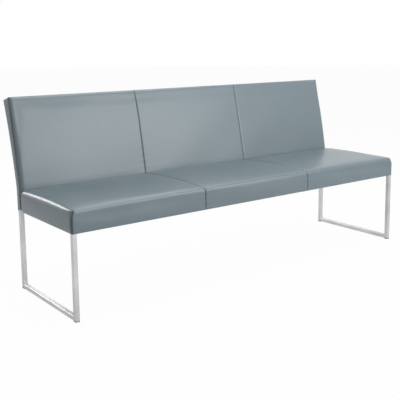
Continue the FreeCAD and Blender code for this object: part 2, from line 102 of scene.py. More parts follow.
class Nodes:
    """A tree of shader nodes."""

    def __init__(self, tree):
        self.tree = tree

    def node(self, kind, sockets, output=0, **settings):
        """A node with its settings, then the values or links of its sockets, by name or by place."""
        made = self.tree.nodes.new(f"ShaderNode{kind}")
        for name, value in settings.items():
            setattr(made, name, value)
        for name, value in sockets.items():
            feed(self.tree, made.inputs[name], value)
        return Shade(self.tree, made.outputs[output])

    def looked(self, mirrored=1.0):
        """1 for rays from the camera, and a share for those that metal and glossy covers mirror."""
        camera, glossy, through = (self.node("LightPath", {}, f"Is {way} Ray")
                                   for way in ("Camera", "Glossy", "Transmission"))
        return camera.math("MINIMUM", camera + (glossy + through) * mirrored, 1.0)


class Finish(Nodes):
    """A material on a Principled shader."""

    def __init__(self, name, **surface):
        self.material = bpy.data.materials.new(name)
        self.material.use_nodes = True
        super().__init__(self.material.node_tree)
        self.shader = self.tree.nodes["Principled BSDF"]
        self.surface(**surface)

    def surface(self, **values):
        for name, value in values.items():
            feed(self.tree, self.shader.inputs[name.replace("_", " ").title().replace("Ior", "IOR")], value)

    def place(self, stretch=(1.0, 1.0, 1.0)):
        return self.node("Mapping", {"Vector": self.node("TexCoord", {}, "Object"), "Scale": stretch})

    def axis(self, which):
        return self.node("SeparateXYZ", {"Vector": self.node("TexCoord", {}, "Object")}, which)

    def noise(self, scale, stretch=(1.0, 1.0, 1.0), detail=3.0, roughness=0.5):
        return self.node("TexNoise", {"Vector": self.place(stretch), "Scale": scale, "Detail": detail,
                                      "Roughness": roughness})

    def cells(self, scale, feature="F1"):
        return self.node("TexVoronoi", {"Vector": self.place(), "Scale": scale}, feature=feature)

    def mix(self, factor, first, second):
        """A colour between two colours."""
        return self.node("Mix", {0: factor, 6: first, 7: second}, 2, data_type="RGBA")

    def raised(self, height, depth, strength=1.0):
        """The normal of a surface raised by a height of 0 to 1, times a depth in metres."""
        return self.node("Bump", {"Height": height, "Distance": depth, "Strength": strength})


def coat(names, finish):
    for name in names:
        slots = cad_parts[name].data.materials
        slots.clear()
        slots.append(finish.material)


STEEL = (0.68, 0.68, 0.685)
STEEL_WORN = (0.47, 0.47, 0.475)
WELD = (0.30, 0.295, 0.29)
WELD_HALF, WELD_FADE = 0.0007, 0.0006
TUBE_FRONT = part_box("left_front_leg")[0].y
TUBE_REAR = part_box("left_rear_leg")[1].y
TUBE_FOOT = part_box("left_front_leg")[0].z


def brushed_steel(name, run):
    """Fine scratches along one axis, over broad changes of sheen."""
    steel = Finish(name, metallic=1.0, specular_ior_level=0.5)
    along = tuple(0.012 if axis == run else 1.0 for axis in "XYZ")
    scratches = steel.noise(1900.0, along, detail=4.0, roughness=0.65)
    streaks = steel.noise(420.0, along, detail=2.0)
    clouds = steel.noise(9.0, detail=2.0)
    height = steel.axis("Z") - TUBE_FOOT
    depth = steel.axis("Y")
    front_mitre = abs(depth - TUBE_FRONT - height)
    rear_mitre = abs(TUBE_REAR - depth - height)
    weld = front_mitre.below(WELD_HALF, WELD_FADE) + rear_mitre.below(WELD_HALF, WELD_FADE)
    ground = steel.mix(streaks * 0.5 + clouds * 1.2 - 0.35, STEEL_WORN, STEEL)
    steel.surface(base_color=steel.mix(weld * 0.8, ground, WELD),
                  roughness=0.33 + scratches * 0.10 + clouds * 0.08 + weld * 0.2,
                  normal=steel.raised(scratches, 0.00001))
    return steel


coat(["left_front_leg", "left_rear_leg", "right_front_leg", "right_rear_leg"],
     brushed_steel("stainless_legs", "Z"))
coat(["left_floor_runner", "right_floor_runner", "left_mounting_bar", "right_mounting_bar"],
     brushed_steel("stainless_runners", "Y"))


# Floor glides: moulded black nylon pads, pushed by a stem into each end of the floor runners.
# Their faces carry a fine spark texture, dulled where they have been dragged.

nylon = Finish("glide_nylon", specular_ior_level=0.12)
spark = nylon.noise(2600.0, detail=3.0)
scuff = nylon.noise(160.0, (1.0, 0.15, 1.0), detail=4.0)
nylon.surface(base_color=nylon.mix(scuff, (0.004, 0.004, 0.004), (0.014, 0.014, 0.015)),
              roughness=0.6 + spark * 0.2, normal=nylon.raised(spark, 0.00006))
coat(["left_front_glide", "left_rear_glide", "right_front_glide", "right_rear_glide"], nylon)


# Coach screws: zinc-plated steel with flanged heads, driven up through the bars into the wooden seat
# frame and back through the seat's rear rail. The plating is a bright grey with a faint mottle.

zinc = Finish("zinc_plate", metallic=1.0)
mottle = zinc.cells(700.0)
film = zinc.noise(240.0, detail=2.0)
zinc.surface(base_color=zinc.mix(mottle, (0.50, 0.52, 0.53), (0.66, 0.67, 0.67)),
             roughness=0.28 + film * 0.2, normal=zinc.raised(film, 0.00005))
coat(["leg_screws", "back_screws"], zinc)


# Seat and back frames: planed beech rails, uprights and corner blocks, glued and screwed, with a
# plywood board across the back. All of it is bare wood, closed in by the cover.

def bare_wood(name, run, pale, dark, pore):
    """Growth rings stretched along the grain, with short dark pores."""
    wood = Finish(name, specular_ior_level=0.3)
    grain = tuple(0.06 if axis == run else 1.0 for axis in "XYZ")
    rings = wood.noise(90.0, grain, detail=5.0, roughness=0.6)
    fleck = wood.noise(900.0, tuple(0.25 * share for share in grain), detail=2.0)
    pores = (1 - fleck).below(0.42, 0.1)
    wood.surface(base_color=wood.mix(pores * 0.35, wood.mix(rings, pale, dark), pore),
                 roughness=0.55 + rings * 0.15, normal=wood.raised(rings + fleck * 0.5, 0.0002))
    return wood


BEECH_PALE, BEECH_DARK, BEECH_PORE = (0.60, 0.42, 0.27), (0.44, 0.28, 0.16), (0.24, 0.14, 0.08)
coat(["seat_front_rail", "seat_rear_rail", "back_bottom_rail", "back_top_rail"],
     bare_wood("beech_along", "X", BEECH_PALE, BEECH_DARK, BEECH_PORE))
coat(["seat_left_end_rail", "seat_right_end_rail", "seat_left_cross_rail", "seat_right_cross_rail",
      "seat_corner_blocks"], bare_wood("beech_across", "Y", BEECH_PALE, BEECH_DARK, BEECH_PORE))
coat(["back_left_end_upright", "back_left_middle_upright", "back_right_middle_upright",
      "back_right_end_upright"], bare_wood("beech_upright", "Z", BEECH_PALE, BEECH_DARK, BEECH_PORE))
coat(["back_board"], bare_wood("poplar_plywood", "X", (0.66, 0.52, 0.35), (0.52, 0.38, 0.23),
                               (0.30, 0.20, 0.12)))


# Seat webbing: rubber-cored elastic straps, woven in a plain black rib. They are stretched over the
# seat frame from front to rear and stapled to its rails.

elastic = Finish("elastic_webbing", specular_ior_level=0.25)
ribs = elastic.node("TexWave", {"Vector": elastic.place(), "Scale": 260.0, "Distortion": 0.4, "Detail": 1.0},
                    bands_direction="Y")
yarn = elastic.noise(1500.0, (1.0, 0.2, 1.0), detail=2.0)
elastic.surface(base_color=elastic.mix(yarn, (0.012, 0.012, 0.013), (0.045, 0.045, 0.048)),
                roughness=0.75 + yarn * 0.15, normal=elastic.raised(ribs, 0.0004))
coat(["seat_webbing"], elastic)


# Dust cover: a thin black non-woven cloth, stapled up under the seat frame and the back's bottom
# rail. It is pulled flat, and hangs a little between the cross rails.

def new_piece(name, form, finish):
    """A piece at the origin from a bmesh, with its finish."""
    mesh = bpy.data.meshes.new(name)
    form.to_mesh(mesh)
    form.free()
    piece = bpy.data.objects.new(name, mesh)
    bpy.context.scene.collection.objects.link(piece)
    mesh.materials.append(finish.material)
    mesh.shade_smooth()
    return piece


def points_of(piece):
    spots = np.empty(len(piece.data.vertices) * 3)
    piece.data.vertices.foreach_get("co", spots)
    return spots.reshape(-1, 3)


def move_points(piece, spots):
    piece.data.vertices.foreach_set("co", spots.ravel())
    piece.data.update()


felt = Finish("dust_cloth", specular_ior_level=0.2, sheen_weight=0.15)
fibres = felt.noise(700.0, (1.0, 0.3, 1.0), detail=5.0, roughness=0.7)
pressed = felt.cells(420.0)
felt.surface(base_color=felt.mix(fibres, (0.008, 0.008, 0.009), (0.030, 0.030, 0.032)),
             roughness=0.85 + fibres * 0.1, normal=felt.raised(pressed + fibres, 0.0002))

DUST_SAG = 0.0025
DUST_THICKNESS = 0.0006
dust_low, dust_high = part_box("dust_cover")
seam = (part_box("seat_cover_centre")[1].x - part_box("seat_cover_centre")[0].x) / 2
dust_form = bmesh.new()
bmesh.ops.create_grid(dust_form, x_segments=60, y_segments=18, size=0.5)
bmesh.ops.scale(dust_form, vec=(dust_high.x - dust_low.x, dust_high.y - dust_low.y, 1.0),
                verts=dust_form.verts)
bmesh.ops.translate(dust_form, vec=(0.0, (dust_low.y + dust_high.y) / 2, dust_high.z),
                    verts=dust_form.verts)
bmesh.ops.reverse_faces(dust_form, faces=dust_form.faces)
bmesh.ops.solidify(dust_form, geom=dust_form.faces[:], thickness=DUST_THICKNESS)
dust = new_piece("dust_cover_cloth", dust_form, felt)
spots = points_of(dust)
edge_share = np.sin(np.pi * (spots[:, 1] - dust_low.y) / (dust_high.y - dust_low.y))
between = np.where(np.abs(spots[:, 0]) < seam, np.cos(np.pi / 2 * spots[:, 0] / seam),
                   np.sin(np.pi * (np.abs(spots[:, 0]) - seam) / (dust_high.x - seam)))
spots[:, 2] -= DUST_SAG * np.clip(edge_share, 0, 1) * np.clip(between, 0, 1)
move_points(dust, spots)
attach(dust, "root")
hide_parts("dust_cover")


# Seat: three panels of leatherette over one foam cap, sewn in two seams that run over the front edge,
# with boxed front corners. The cover is pulled down over the wooden frame and stapled under it.

def leatherette(name):
    """Satin grey-blue coated cloth with a fine pebble grain, and painted shade that darkens its colour down
    in the seams.
    """
    hide = Finish(name, specular_ior_level=0.5, coat_roughness=0.20, coat_ior=1.45)
    pebble = hide.cells(820.0, "SMOOTH_F1")
    pits = hide.noise(2300.0, detail=2.0)
    mottle = hide.noise(34.0, detail=4.0, roughness=0.6)
    broad = hide.noise(3.2, detail=2.0)
    painted_shade = hide.node("Attribute", {}, "Fac", attribute_name="painted_shade")
    shade = hide.mix(mottle * 0.5 + broad * 0.5, LEATHER_LOW, LEATHER_HIGH)
    worn = hide.mix(pebble * 0.25, shade, LEATHER_GRAIN)
    # Painted shade: the colour turns near-black where the seams and corner folds are marked.
    hide.surface(base_color=hide.mix(painted_shade, worn, LEATHER_PAINTED_SHADE),
                 roughness=0.31 + mottle * 0.08 + pits * 0.05 + painted_shade * 0.2,
                 coat_weight=0.16 + broad * 0.12,
                 normal=hide.raised(pebble + pits * 0.3, 0.00012, 0.5))
    return hide


LEATHER_LOW, LEATHER_HIGH = (0.156, 0.205, 0.230), (0.188, 0.246, 0.275)
# The last colour is painted shade, for the seams and corner folds.
LEATHER_GRAIN, LEATHER_PAINTED_SHADE = (0.132, 0.175, 0.197), (0.018, 0.024, 0.027)
hide = leatherette("leatherette")


def remeshed(piece, voxel):
    """The piece's mesh as an even skin of small quads."""
    skin = piece.modifiers.new("skin", "REMESH")
    skin.mode = "VOXEL"
    skin.voxel_size = voxel
    skin.use_smooth_shade = True
    ease = piece.modifiers.new("ease", "SMOOTH")
    ease.iterations = 5
    settle(piece)


def settle(piece):
    """Apply every modifier to the mesh."""
    seen = piece.evaluated_get(bpy.context.evaluated_depsgraph_get())
    made = bpy.data.meshes.new_from_object(seen)
    old = piece.data
    piece.modifiers.clear()
    piece.data = made
    made.name = piece.name
    bpy.data.meshes.remove(old)


def puff(piece, held, pressure, limit):
    """Blow the skin up like a filled cover. Held points stay, and no point moves past the limit."""
    start = points_of(piece)
    pins = piece.vertex_groups.new(name="held")
    pins.add(np.flatnonzero(held).tolist(), 1.0, "REPLACE")
    cloth = piece.modifiers.new("fill", "CLOTH")
    cloth.settings.quality = 3
    cloth.settings.mass = 0.4
    cloth.settings.tension_stiffness = 12.0
    cloth.settings.compression_stiffness = 12.0
    cloth.settings.shear_stiffness = 6.0
    cloth.settings.bending_stiffness = 4.0
    cloth.settings.use_pressure = True
    cloth.settings.uniform_pressure_force = pressure
    cloth.settings.effector_weights.gravity = 0.0
    cloth.settings.vertex_group_mass = pins.name
    cloth.point_cache.frame_start = 1
    cloth.point_cache.frame_end = PUFF_FRAMES
    cloth.collision_settings.use_collision = False
    for step in range(1, PUFF_FRAMES + 1):
        bpy.context.scene.frame_set(step)
    settle(piece)
    bpy.context.scene.frame_set(1)
    piece.vertex_groups.clear()
    moved = evened(piece, points_of(piece) - start, held)
    reach = np.linalg.norm(moved, axis=1, keepdims=True)
    kept = limit * np.tanh(reach / limit) / np.maximum(reach, 1e-9)
    move_points(piece, start + moved * kept)


def evened(piece, moved, held):
    """Spread the moves of loose points over their neighbours, so that no crease is left."""
    ends = np.empty(len(piece.data.edges) * 2, dtype=np.int32)
    piece.data.edges.foreach_get("vertices", ends)
    first, second = ends.reshape(-1, 2).T
    count = np.bincount(ends, minlength=len(moved))[:, None]
    for _ in range(EASE_PASSES):
        near = np.zeros_like(moved)
        np.add.at(near, first, moved[second])
        np.add.at(near, second, moved[first])
        moved = np.where(held[:, None], moved, (moved + near / count) / 2)
    return moved


def outward(piece):
    ways = np.empty(len(piece.data.vertices) * 3)
    piece.data.vertices.foreach_get("normal", ways)
    return ways.reshape(-1, 3)


def hollow_of(distance, width):
    return np.exp(-(distance / width) ** 2)


def refine(piece):
    finer = piece.modifiers.new("finer", "SUBSURF")
    finer.levels = 1
    finer.render_levels = 1
    settle(piece)


def finer_near(piece, near):
    """Split the faces between marked points, so that a narrow seam keeps its line."""
    form = bmesh.new()
    form.from_mesh(piece.data)
    edges = [edge for edge in form.edges if all(near[corner.index] for corner in edge.verts)]
    bmesh.ops.subdivide_edges(form, edges=edges, cuts=2, use_grid_fill=True)
    form.to_mesh(piece.data)
    form.free()


def paint_seam_shade(piece, shares):
    """Keep how deep each point lies in a seam, as the share of painted shade that the finish darkens its
    colour by.
    """
    painted_shades = piece.data.attributes.new("painted_shade", "FLOAT", "POINT")
    painted_shades.data.foreach_set("value", np.clip(shares, 0.0, 1.0))


def close_up(form):
    """Close each open loop of a form with flat faces."""
    rim = [edge for edge in form.edges if edge.is_boundary]
    lids = bmesh.ops.holes_fill(form, edges=rim, sides=0)["faces"]
    bmesh.ops.triangulate(form, faces=lids, ngon_method="EAR_CLIP")


def panel_of(piece, name, low, high):
    """The part of a skin between two seams, closed at each seam."""
    form = bmesh.new()
    form.from_mesh(piece.data)
    for limit, way in ((low, 1.0), (high, -1.0)):
        if limit is None:
            continue
        bmesh.ops.bisect_plane(form, geom=form.verts[:] + form.edges[:] + form.faces[:], dist=SEAM_SNAP,
                               plane_co=(limit, 0.0, 0.0), plane_no=(way, 0.0, 0.0), clear_inner=True)
        close_up(form)
    bmesh.ops.recalc_face_normals(form, faces=form.faces)
    return new_piece(name, form, hide)


PUFF_FRAMES = 20
EASE_PASSES = 60
VOXEL = 0.008
SEAT_CROWN = 0.007
SEAT_END_FALL = 0.11
SEAT_FRONT_ROLL = 0.010
SEAT_END_ROLL = 0.021
SEAT_CORNER = 0.022
SEAT_SQUARE_RUN, SEAT_SQUARE_SHARE = 0.09, 0.65
SEAT_LIFT = 0.003
SEAT_HEM = 0.012
SEAT_CORNER_HELD = 0.010
SEAT_PRESSURE = 3.0
SEAM_WIDTH, SEAM_SINK = 0.0045, 0.0026
SEAM_SHADE, SEAM_SHADE_WIDTH = 0.95, 0.0025
SEAM_SNAP = 0.0002
SEAT_SEAM_FINE, SEAT_FOLD_FINE = 0.010, 0.012
SEAT_FADE = 0.010
SEAT_PULL, SEAT_PULL_STEP, SEAT_PULL_REACH = 0.0007, 0.031, 0.022
SEAT_WANDER = 0.0005
BOXED_DROP, BOXED_FADE = 0.002, 0.008
FOLD_SINK, FOLD_WIDTH, FOLD_SHADE_WIDTH = 0.0030, 0.0030, 0.0036
PINCH_DROP, PINCH_HEIGHT = 0.010, 0.013
PINCH_SINK, PINCH_WIDTH = 0.0090, 0.0060

seat_nodes = ("seat_cover_left", "seat_cover_centre", "seat_cover_right")
seat_low = Vector(map(min, *(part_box(name)[0] for name in seat_nodes)))
seat_high = Vector(map(max, *(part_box(name)[1] for name in seat_nodes)))
seat_edge = seat_high.z - SEAT_CROWN - SEAT_LIFT
seat_front = seat_low.y + SEAT_LIFT

seat_form = bmesh.new()
bmesh.ops.create_cube(seat_form, size=1.0)
seat_base = seat_low.z - VOXEL / 2
seat_size = Vector((seat_high.x - seat_low.x - SEAT_LIFT, seat_high.y - seat_front, seat_edge - seat_base))
bmesh.ops.scale(seat_form, vec=seat_size, verts=seat_form.verts)
bmesh.ops.translate(seat_form, vec=(0.0, (seat_front + seat_high.y) / 2, (seat_edge + seat_base) / 2),
                    verts=seat_form.verts)


def edges_where(form, test):
    return [edge for edge in form.edges if all(test(corner.co) for corner in edge.verts)]


def roll_edges(form, edges, radius):
    bmesh.ops.bevel(form, geom=edges, offset=radius, offset_type="OFFSET", segments=5, profile=0.5,
                    affect="EDGES", material=-1)


SNAP = 0.001
roll_edges(seat_form, edges_where(seat_form, lambda spot: spot.y < seat_front + SNAP
                                  and spot.z > seat_edge - SNAP), SEAT_FRONT_ROLL)
for side in (-1, 1):
    end = side * seat_size.x / 2
    roll_edges(seat_form, edges_where(seat_form, lambda spot: abs(spot.x - end) < SNAP
                                      and spot.z > seat_edge - SEAT_FRONT_ROLL - SNAP
                                      and spot.y < seat_high.y + SNAP), SEAT_END_ROLL)
seat = new_piece("seat_skin", seat_form, hide)
remeshed(seat, VOXEL)


def corner_shaped(inset, drop, radius, share):
    """New insets and drops of the points at a corner. A share of 1 squares it, and of -1 rounds it."""
    aside, up = np.maximum(1 - inset / radius, 0.0), np.maximum(1 - drop / radius, 0.0)
    both = (aside > 0) & (up > 0)
    growth = np.where(both, np.hypot(aside, up) / np.maximum(np.maximum(aside, up), 1e-9), 1.0) ** share
    shaped_inset = np.where(both, radius * (1 - aside * growth), inset)
    shaped_drop = np.where(both, radius * (1 - up * growth), drop)
    return shaped_inset, shaped_drop


spots = points_of(seat)
near_front = np.clip(1 - (spots[:, 1] - seat_front) / SEAT_SQUARE_RUN, 0.0, 1.0)
inset, drop = corner_shaped(seat_size.x / 2 - np.abs(spots[:, 0]), seat_edge - spots[:, 2], SEAT_END_ROLL,
                            SEAT_SQUARE_SHARE * near_front)
spots[:, 0] = np.sign(spots[:, 0]) * (seat_size.x / 2 - inset)
spots[:, 2] = seat_edge - drop
across = (spots[:, 1] - seat_front) / (seat_high.y - seat_front)
height_share = np.clip((spots[:, 2] - seat_low.z) / (seat_edge - seat_low.z), 0.0, 1.0)
end_share = np.clip((seat_size.x / 2 - np.abs(spots[:, 0])) / SEAT_END_FALL, 0.0, 1.0)
crown = SEAT_CROWN * (0.25 + 0.75 * np.sin(np.pi / 2 * end_share))
spots[:, 2] += crown * height_share ** 2 * (1 - (2 * across - 1) ** 2)
move_points(seat, spots)
seam_gap = np.abs(np.abs(spots[:, 0]) - seam)
corner_gap = np.hypot(np.abs(spots[:, 0]) - seat_size.x / 2, spots[:, 1] - seat_front)
held = (spots[:, 2] < seat_low.z + SEAT_HEM) | (spots[:, 1] > seat_high.y - SEAT_HEM)
held |= seam_gap < VOXEL * 0.6
held |= (corner_gap < SEAT_CORNER_HELD) & (height_share < 0.85)
puff(seat, held, SEAT_PRESSURE, SEAT_LIFT)
refine(seat)


def boxed_corner(spots):
    """How far each point lies from the diagonal fold of a front corner, and whether that corner is near."""
    inset, ahead = seat_size.x / 2 - np.abs(spots[:, 0]), spots[:, 1] - seat_front
    return np.abs(inset - ahead) / math.sqrt(2), (inset < SEAT_CORNER) & (ahead < SEAT_CORNER)


spots = points_of(seat)
fold_gap, cornered = boxed_corner(spots)
seam_gap = np.abs(np.abs(spots[:, 0]) - seam)
finer_near(seat, (seam_gap < SEAT_SEAM_FINE) | (cornered & (fold_gap < SEAT_FOLD_FINE)))
spots = points_of(seat)
seam_gap = np.abs(np.abs(spots[:, 0]) - seam)
run = spots[:, 1] - spots[:, 2]
upper = (np.clip((spots[:, 2] - seat_low.z) / SEAT_FADE, 0.0, 1.0)
         * np.clip((seat_high.y - spots[:, 1]) / SEAT_FADE, 0.0, 1.0))
sewn = hollow_of(seam_gap, SEAM_WIDTH)
ripple = np.sin(run * 2 * np.pi / SEAT_PULL_STEP + 3.0 * np.sin(run * 17.0))
pull = ripple * np.exp(-seam_gap / SEAT_PULL_REACH)
wander = (np.sin(spots[:, 0] * 9.1 + spots[:, 1] * 14.3)
          + np.sin(spots[:, 0] * 21.7 - spots[:, 1] * 11.9 + spots[:, 2] * 30.0)
          + np.sin(spots[:, 0] * 5.3 + spots[:, 2] * 47.0))
sink = upper * (SEAM_SINK * sewn + SEAT_PULL * pull - SEAT_WANDER * wander)
fold_gap, cornered = boxed_corner(spots)
boxed = cornered * np.clip((seat_edge - BOXED_DROP - spots[:, 2]) / BOXED_FADE, 0.0, 1.0)
pinch = hollow_of(spots[:, 2] - (seat_edge - PINCH_DROP), PINCH_HEIGHT)
sink += boxed * (FOLD_SINK * hollow_of(fold_gap, FOLD_WIDTH)
                 + PINCH_SINK * pinch * hollow_of(fold_gap, PINCH_WIDTH))
# Painted shade along the seams and down the boxed corner folds, kept for the finish to darken the colour.
painted_shades = (SEAM_SHADE * upper * hollow_of(seam_gap, SEAM_SHADE_WIDTH)
         + boxed * hollow_of(fold_gap, FOLD_SHADE_WIDTH) * (0.75 + 0.25 * pinch))
spots -= outward(seat) * sink[:, None]
spots[:, 2] = np.maximum(spots[:, 2], seat_low.z)
move_points(seat, spots)
paint_seam_shade(seat, painted_shades)

HIDE_THICKNESS = 0.0014
ROOM_GAP, WEBBING_GAP = 0.0003, 0.0005
ROOM_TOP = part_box("seat_webbing")[1].z + WEBBING_GAP
ROOM_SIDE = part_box("right_front_leg")[1].x + ROOM_GAP
ROOM_FRONT = TUBE_FRONT - ROOM_GAP
ROOM_REAR = seat_high.y - HIDE_THICKNESS
SKIRT = 0.004


def open_underside(piece):
    """Cut the room for the wooden frame up into the seat's flat base."""
    form = bmesh.new()
    form.from_mesh(piece.data)
    inside = []
    for face in form.faces:
        spot = face.calc_center_median()
        if (face.normal.z < -0.9 and spot.z < seat_low.z + SKIRT and abs(spot.x) < ROOM_SIDE - SKIRT
                and ROOM_FRONT + SKIRT < spot.y < ROOM_REAR - SKIRT):
            inside.append(face)
    bmesh.ops.delete(form, geom=inside, context="FACES")
    rim = [edge for edge in form.edges if edge.is_boundary]
    corners = {corner for edge in rim for corner in edge.verts}
    side = max(corner.co.x for corner in corners) - SKIRT / 2
    front = min(corner.co.y for corner in corners) + SKIRT / 2
    rear = max(corner.co.y for corner in corners) - SKIRT / 2
    for corner in corners:
        if abs(corner.co.x) > side:
            corner.co.x = math.copysign(ROOM_SIDE, corner.co.x)
        if corner.co.y < front:
            corner.co.y = ROOM_FRONT
        if corner.co.y > rear:
            corner.co.y = ROOM_REAR
    walls = bmesh.ops.extrude_edge_only(form, edges=rim)["geom"]
    for part in walls:
        if isinstance(part, bmesh.types.BMVert):
            part.co.z = ROOM_TOP
    close_up(form)
    form.to_mesh(piece.data)
    form.free()


def sew_panels(skin, piece, cover, foam):
    """Cut a skin at its seams into three panels, each in place of its CAD cover."""
    for side, low, high in (("left", None, -seam), ("centre", -seam, seam), ("right", seam, None)):
        panel = panel_of(skin, f"{piece}_{side}", low, high)
        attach(panel, "root")
        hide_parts(f"{cover}_{side}")
        if side == "centre":
            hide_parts(foam)
    bpy.data.objects.remove(skin)


open_underside(seat)
sew_panels(seat, "seat_panel", "seat_cover", "seat_foam")


# Back cushion: three leatherette panels over a foam sheet on the plywood, sewn in line with the
# seat's seams. The front rolls over the top and the ends to a welted seam along the boxing band.

def line_at(node, station, start, way):
    """Heights and depths of a CAD piece's outline at a station along the bench."""
    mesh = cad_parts[node].data
    tree = BVHTree.FromPolygons([corner.co for corner in mesh.vertices],
                                [face.vertices for face in mesh.polygons])
    hits = []
    for height in np.linspace(back_low.z, back_high.z, LINE_STEPS):
        found = tree.ray_cast(Vector((station, start, height)), Vector((0.0, way, 0.0)))[0]
        if found is not None:
            hits.append((height, found.y))
    return np.array(hits)


back_nodes = ("back_front_cover_left", "back_front_cover_centre", "back_front_cover_right")
back_low = Vector(map(min, *(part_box(name)[0] for name in back_nodes)))
back_high = Vector(map(max, *(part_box(name)[1] for name in back_nodes)))
rear_low, rear_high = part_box("back_rear_cover")
BACK_LIFT = 0.0018
BACK_ROLL = 0.0135
BACK_END_ROLL = 0.0135
BACK_WRAP = 0.016
BACK_CORNER = 0.005
BACK_SLOPE = 0.28
BACK_TOP_LIFT = 0.006
BACK_PRESSURE = 3.0
BACK_FOOT, BACK_HEM = 0.05, 0.02
BACK_TOP_SHARE = 0.75
BACK_FADE = 0.02
BACK_SEAM_FINE = 0.008
BACK_PULL, BACK_PULL_STEP, BACK_PULL_REACH = 0.0004, 0.037, 0.024
BACK_WANDER = 0.0006
APRON_RISE, APRON_SIDE, RAIL_GAP = 0.004, 0.001, 0.0002
PAD_DEPTH = 0.032
PAD_GAP, BOARD_GAP = 0.0004, 0.001
SEAM_CLEAR = 0.004
LINE_STEPS = 90
face_line = line_at("back_front_cover_centre", seam - SEAM_CLEAR, -1.0, 1.0)
rear_line = line_at("back_rear_cover", 0.0, 1.0, -1.0)
face_line = face_line[face_line[:, 0] < back_high.z - BACK_ROLL]
board_line = line_at("back_board", 0.0, -1.0, 1.0)


def face_depth(height):
    top, under = face_line[-1], face_line[-8]
    slope = (top[1] - under[1]) / (top[0] - under[0])
    return np.interp(height, face_line[:, 0], face_line[:, 1]) + slope * np.maximum(height - top[0], 0.0)


def rear_depth(height):
    return np.interp(height, rear_line[:, 0], rear_line[:, 1])


def board_depth(height):
    return np.interp(height, board_line[:, 0], board_line[:, 1])


back_half = back_high.x
pad_half = back_half - PAD_GAP
pad_top = back_high.z - back_low.z + BACK_TOP_LIFT
back_form = bmesh.new()
bmesh.ops.create_cube(back_form, size=1.0)
bmesh.ops.scale(back_form, vec=(2 * pad_half, PAD_DEPTH, pad_top), verts=back_form.verts)
bmesh.ops.translate(back_form, vec=(0.0, PAD_DEPTH / 2, pad_top / 2), verts=back_form.verts)
roll_edges(back_form, edges_where(back_form, lambda spot: spot.y < SNAP and spot.z > pad_top - SNAP),
           BACK_ROLL)
for side in (-1, 1):
    end = side * pad_half
    roll_edges(back_form, edges_where(back_form, lambda spot: abs(spot.x - end) < SNAP
                                      and spot.y < BACK_ROLL + SNAP
                                      and not (spot.z < SNAP and spot.y > SNAP)), BACK_END_ROLL)
back = new_piece("back_skin", back_form, hide)
remeshed(back, VOXEL * 0.75)
spots = points_of(back)
inset, drop = corner_shaped(pad_half - np.abs(spots[:, 0]), pad_top - spots[:, 2], BACK_CORNER, -1.0)
spots[:, 0] = np.sign(spots[:, 0]) * (pad_half - inset)
spots[:, 2] = pad_top - drop
level, deep = spots[:, 2].copy(), spots[:, 1].copy()
heights = back_low.z + level
room = board_depth(heights) - face_depth(heights) - BOARD_GAP
squeeze = np.maximum(room - BACK_WRAP, BOARD_GAP) / (PAD_DEPTH - BACK_WRAP)
behind = np.where(deep < BACK_WRAP, deep, BACK_WRAP + (deep - BACK_WRAP) * squeeze)
near_top = np.clip((level / pad_top - BACK_TOP_SHARE) / (1 - BACK_TOP_SHARE), 0.0, 1.0)
spots[:, 1] = face_depth(heights) + BACK_LIFT * 0.6 * np.clip(level / BACK_FOOT - 1.0, 0.0, 1.0) + behind
spots[:, 2] = heights - BACK_SLOPE * behind * near_top
move_points(back, spots)
held = (level < BACK_HEM) | (deep > BACK_WRAP)
puff(back, held, BACK_PRESSURE, BACK_LIFT)
refine(back)
spots = points_of(back)
finer_near(back, np.abs(np.abs(spots[:, 0]) - seam) < BACK_SEAM_FINE)

spots = points_of(back)
seam_gap = np.abs(np.abs(spots[:, 0]) - seam)
sewn = hollow_of(seam_gap, SEAM_WIDTH)
front_share = np.clip(1 - (spots[:, 1] - face_depth(spots[:, 2])) / BACK_FADE, 0.0, 1.0)
ripple = np.sin(spots[:, 2] * 2 * np.pi / BACK_PULL_STEP + 3.0 * np.sin(spots[:, 2] * 13.0))
pull = ripple * np.exp(-seam_gap / BACK_PULL_REACH)
wander = (np.sin(spots[:, 0] * 6.1 + spots[:, 2] * 12.3)
          + np.sin(spots[:, 0] * 13.7 - spots[:, 2] * 17.9)
          + np.sin(spots[:, 0] * 3.3 + spots[:, 2] * 7.0))
sink = front_share * (0.6 * SEAM_SINK * sewn + BACK_PULL * pull - BACK_WANDER * wander)
spots -= outward(back) * sink[:, None]
rail_low, rail_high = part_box("back_bottom_rail")
apron = (spots[:, 2] < rail_high.z + APRON_RISE) & (np.abs(spots[:, 0]) < rail_high.x + APRON_SIDE)
spots[apron, 1] = np.minimum(spots[apron, 1], rail_low.y - RAIL_GAP)
move_points(back, spots)
# Painted shade along the back's seams, kept for the finish to darken the colour.
paint_seam_shade(back, SEAM_SHADE * front_share * hollow_of(seam_gap, SEAM_SHADE_WIDTH))
sew_panels(back, "back_panel", "back_front_cover", "back_foam")


# Boxing band: one strip of leatherette up both ends and over the top of the back, sewn to the front
# panels along a welt. It is stretched over the frame and lies almost flat.

BAND_CORNER = 0.004
BAND_SWELL = 0.0012
BAND_TOP_LIFT = 0.0035
BAND_GAP = 0.0006
BAND_RIPPLE = 0.0003
side_run = rear_high.z - back_low.z - BAND_CORNER
top_run = 2 * (back_half - BAND_CORNER)
corner_run = math.pi / 2 * BAND_CORNER
whole_run = 2 * (side_run + corner_run) + top_run
top_front = back_high.z - BACK_SLOPE * BACK_WRAP + BAND_TOP_LIFT


